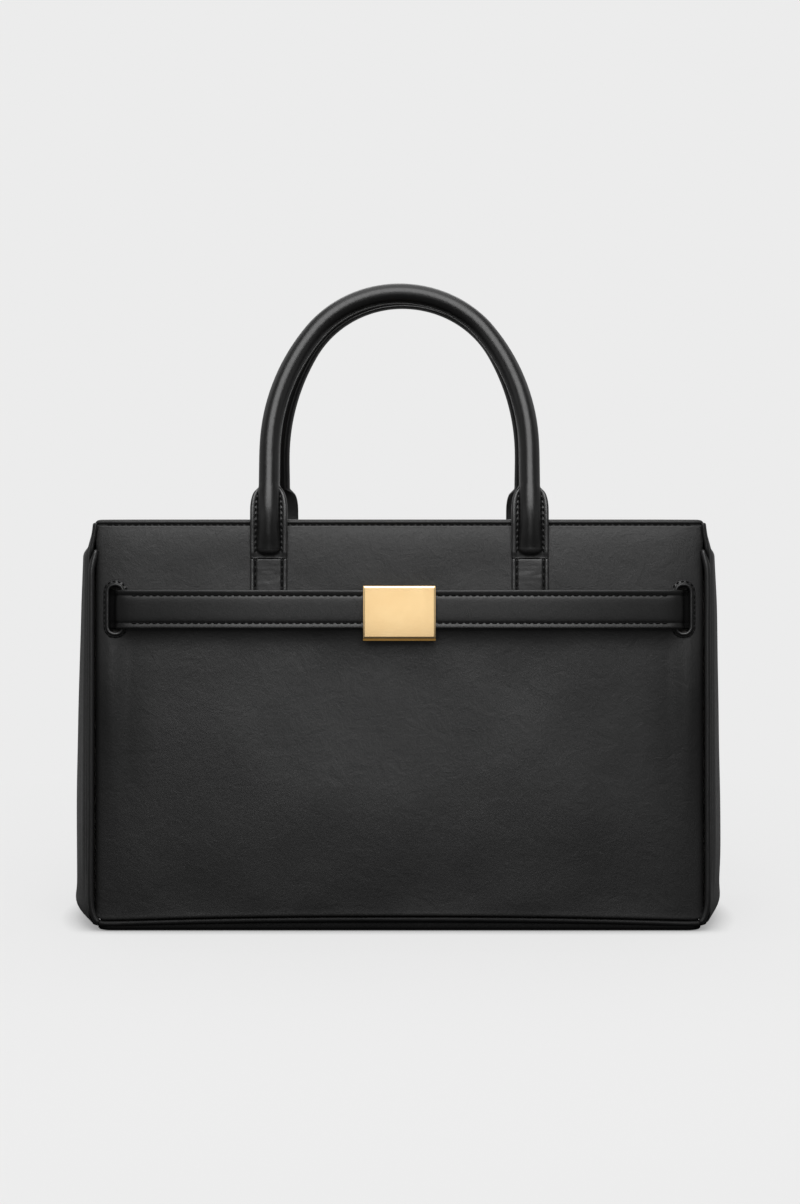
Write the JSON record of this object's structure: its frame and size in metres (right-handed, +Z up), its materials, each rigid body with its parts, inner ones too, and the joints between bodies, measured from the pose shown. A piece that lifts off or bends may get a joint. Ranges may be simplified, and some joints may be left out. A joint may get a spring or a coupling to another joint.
{
  "type": "top handle bag",
  "caption": "Structured leather top handle bag with two rolled handles that fold outwards, piped seams, folded-in gussets and a belt through slots to a hinged metal clasp.",
  "frame": {"origin": "middle of the base panel's underside, on the floor", "axes": "+Z up, +X to the viewer's right along the front, the front with the clasp faces -Y"},
  "size_m": [0.3374, 0.1302, 0.3274],
  "materials": {
    "panel_leather": "smooth black calf with a fine grain and a soft sheen",
    "handle_leather": "smooth black calf, glossier where it is rolled",
    "belt_leather": "smooth black calf with painted edges",
    "piping_leather": "thin black calf over a cord",
    "lining_cloth": "dark woven cotton",
    "backing_cloth": "stiff non-woven and cord",
    "board": "stiff bag board",
    "gold_metal": "satin gold-plated brass",
    "steel": "plain steel"
  },
  "bodies": {
    "bag": {"front_panel": "panel_leather", "back_panel": "panel_leather", "left_gusset": "panel_leather", "right_gusset": "panel_leather", "base_panel": "panel_leather", "front_facing": "panel_leather", "back_facing": "panel_leather", "front_left_tab": "handle_leather", "front_right_tab": "handle_leather", "back_left_tab": "handle_leather", "back_right_tab": "handle_leather", "front_left_lower_tab": "handle_leather", "front_right_lower_tab": "handle_leather", "back_left_lower_tab": "handle_leather", "back_right_lower_tab": "handle_leather", "left_belt": "belt_leather", "right_belt": "belt_leather", "left_slot_ring": "belt_leather", "right_slot_ring": "belt_leather", "front_left_piping": "piping_leather", "front_right_piping": "piping_leather", "back_left_piping": "piping_leather", "back_right_piping": "piping_leather", "front_bottom_piping": "piping_leather", "back_bottom_piping": "piping_leather", "front_lining": "lining_cloth", "back_lining": "lining_cloth", "left_lining": "lining_cloth", "right_lining": "lining_cloth", "base_lining": "lining_cloth", "front_handle_backing": "backing_cloth", "back_handle_backing": "backing_cloth", "base_board": "board", "clasp_base": "gold_metal", "clasp_pin": "gold_metal", "clasp_rivets": "gold_metal", "belt_stud": "gold_metal", "front_snap": "gold_metal", "back_snap": "gold_metal", "clasp_magnet": "steel", "front_snap_washer": "steel", "back_snap_washer": "steel"},
    "front_handle": {"front_handle": "handle_leather", "front_handle_core": "backing_cloth"},
    "back_handle": {"back_handle": "handle_leather", "back_handle_core": "backing_cloth"},
    "clasp_cover": {"clasp_cover": "gold_metal"}
  },
  "joints": [
    {"name": "front_handle_fold", "type": "hinge", "parent": "bag", "child": "front_handle", "pos_m": [0, -0.0576, 0.2114], "axis": [1, 0, 0], "range_deg": [-8, 85], "stiffness_Nm_per_rad": 0.2},
    {"name": "back_handle_fold", "type": "hinge", "parent": "bag", "child": "back_handle", "pos_m": [0, 0.0576, 0.2114], "axis": [-1, 0, 0], "range_deg": [-8, 85], "stiffness_Nm_per_rad": 0.2},
    {"name": "clasp_open", "type": "hinge", "parent": "bag", "child": "clasp_cover", "pos_m": [0, -0.06024, 0.17187], "axis": [-1, 0, 0], "range_deg": [0, 100]}
  ]
}
